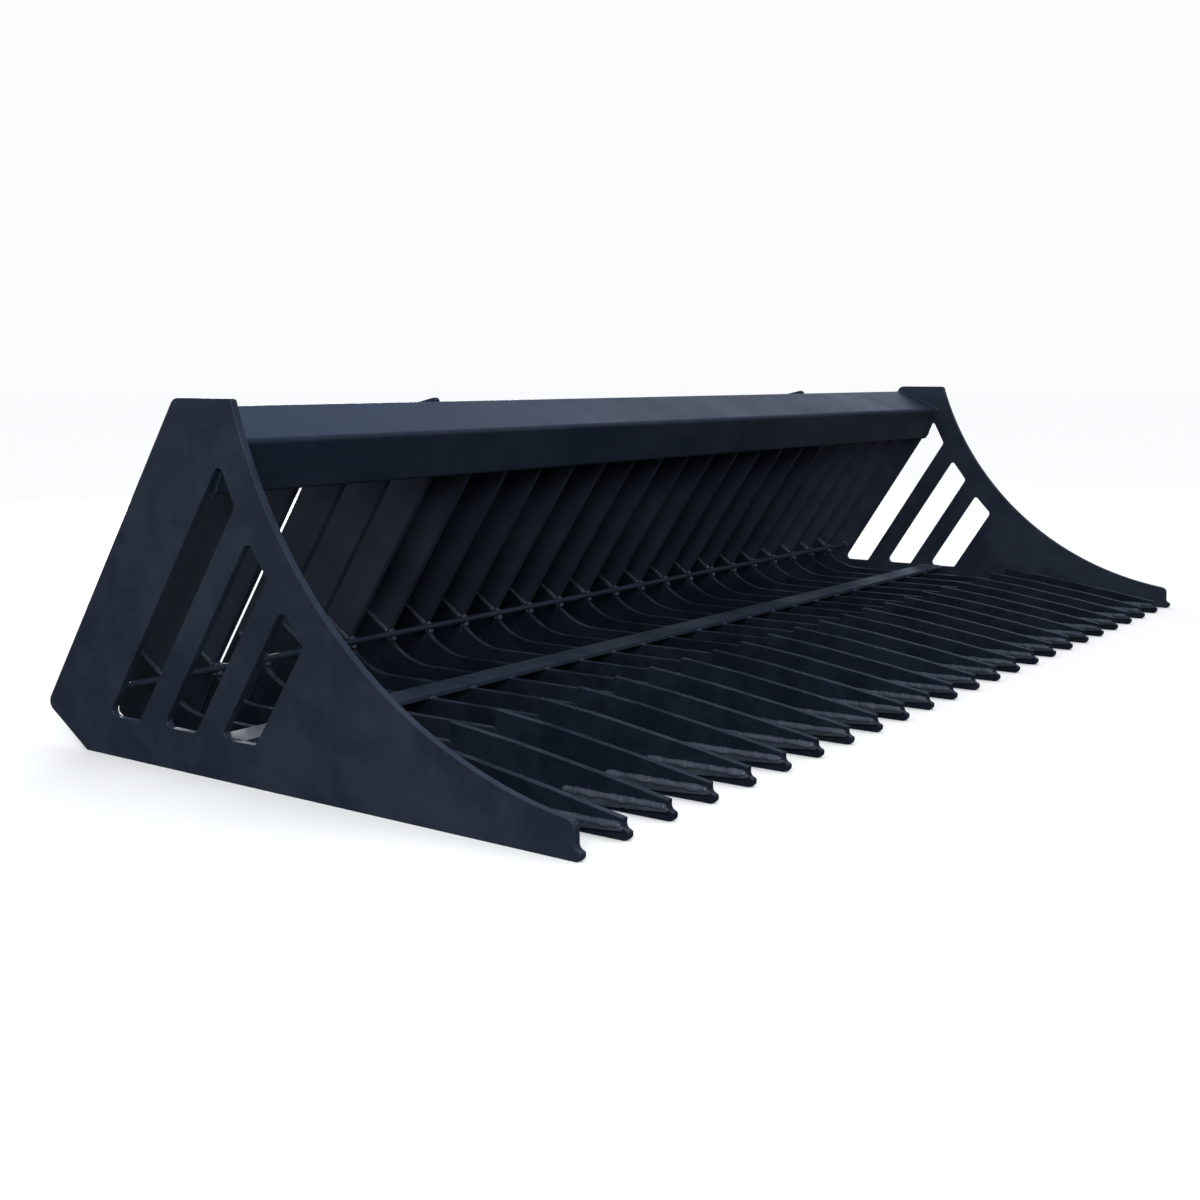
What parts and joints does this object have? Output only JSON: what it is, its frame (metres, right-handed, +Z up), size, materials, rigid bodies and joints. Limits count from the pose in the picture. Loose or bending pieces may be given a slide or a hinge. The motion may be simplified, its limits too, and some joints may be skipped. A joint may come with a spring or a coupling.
{
  "type": "skid-steer skeleton rock bucket",
  "caption": "Wide slatted rock bucket: plate tines and back slats between pierced side plates, under a tube beam, with a quick-attach plate, hook and latch ledge behind.",
  "frame": {"origin": "centre of the bounding box on the ground plane the side plates stand on", "axes": "+X along the bucket's width, -Y towards the tine tips, +Y towards the coupler, +Z up"},
  "size_m": [2.1336, 0.9236, 0.472],
  "materials": {
    "beam_paint": "satin blue-black paint over welded steel plate",
    "coupler_paint": "satin blue-black paint over welded steel plate",
    "plate_paint": "satin blue-black paint over welded steel plate",
    "rod_paint": "satin blue-black paint over welded steel plate",
    "slat_paint": "satin blue-black paint over welded steel plate",
    "strap_paint": "satin blue-black paint over welded steel plate",
    "tine_paint": "satin blue-black paint over welded steel plate",
    "tip_bar_paint": "satin blue-black paint over welded steel plate"
  },
  "bodies": {
    "root": {"side_plate_left": "plate_paint", "side_plate_right": "plate_paint", "top_beam": "beam_paint", "heel_rod": "rod_paint", "floor_strap": "strap_paint", "heel_tine_01": "tine_paint", "heel_tine_02": "tine_paint", "heel_tine_03": "tine_paint", "heel_tine_04": "tine_paint", "heel_tine_05": "tine_paint", "heel_tine_06": "tine_paint", "heel_tine_07": "tine_paint", "heel_tine_08": "tine_paint", "heel_tine_09": "tine_paint", "heel_tine_10": "tine_paint", "heel_tine_11": "tine_paint", "heel_tine_12": "tine_paint", "heel_tine_13": "tine_paint", "heel_tine_14": "tine_paint", "heel_tine_15": "tine_paint", "heel_tine_16": "tine_paint", "heel_tine_17": "tine_paint", "heel_tine_18": "tine_paint", "heel_tine_19": "tine_paint", "heel_tine_20": "tine_paint", "heel_tine_21": "tine_paint", "heel_tine_22": "tine_paint", "heel_tine_23": "tine_paint", "front_tine_01": "tine_paint", "front_tine_02": "tine_paint", "front_tine_03": "tine_paint", "front_tine_04": "tine_paint", "front_tine_05": "tine_paint", "front_tine_06": "tine_paint", "front_tine_07": "tine_paint", "front_tine_08": "tine_paint", "front_tine_09": "tine_paint", "front_tine_10": "tine_paint", "front_tine_11": "tine_paint", "front_tine_12": "tine_paint", "front_tine_13": "tine_paint", "front_tine_14": "tine_paint", "front_tine_15": "tine_paint", "front_tine_16": "tine_paint", "front_tine_17": "tine_paint", "front_tine_18": "tine_paint", "front_tine_19": "tine_paint", "front_tine_20": "tine_paint", "front_tine_21": "tine_paint", "front_tine_22": "tine_paint", "front_tine_23": "tine_paint", "tip_bars": "tip_bar_paint", "back_slats": "slat_paint", "coupler_plate": "coupler_paint", "coupler_hook": "coupler_paint", "coupler_ledge": "coupler_paint", "gusset_left": "coupler_paint", "gusset_right": "coupler_paint", "inner_gussets": "coupler_paint", "backing_straps": "coupler_paint"}
  },
  "joints": []
}
